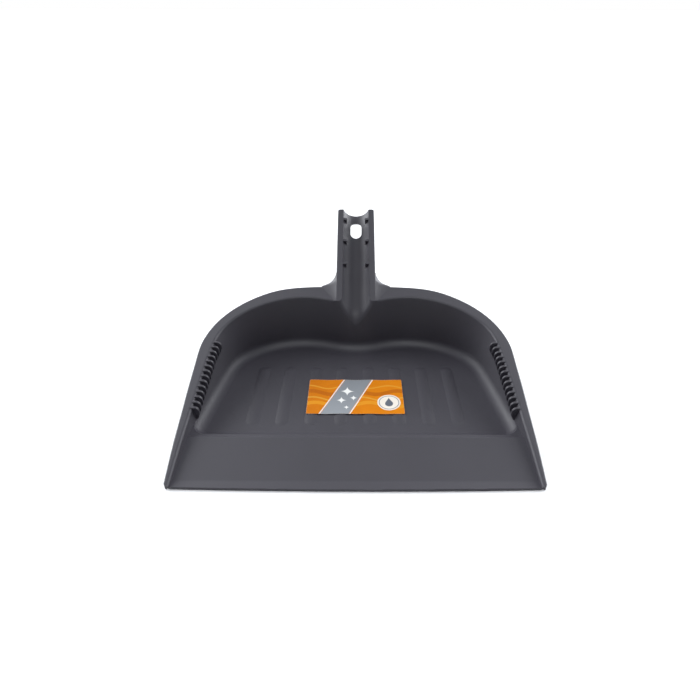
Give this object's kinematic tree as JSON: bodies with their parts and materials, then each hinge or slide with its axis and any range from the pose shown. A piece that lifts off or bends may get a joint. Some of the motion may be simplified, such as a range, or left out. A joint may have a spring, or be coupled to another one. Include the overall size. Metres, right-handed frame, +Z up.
{
  "type": "dustpan",
  "caption": "Moulded plastic dustpan with a lip ramp, ribbed tray, side combs for cleaning a broom, a flanged rim and an open channel handle with a hanging slot.",
  "frame": {"origin": "centre of the footprint (the box around the whole part), on the ground the pan stands on", "axes": "+Z up, +Y from the lip towards the handle's end, +X to the right when looking along +Y; the YZ plane is the symmetry plane"},
  "size_m": [0.3216, 0.3499, 0.1185],
  "materials": {
    "pan": "satin matt with a fine moulded texture",
    "label": "printed adhesive label with a semi-gloss face"
  },
  "bodies": {
    "root": {"pan": "pan", "label": "label"}
  },
  "joints": []
}
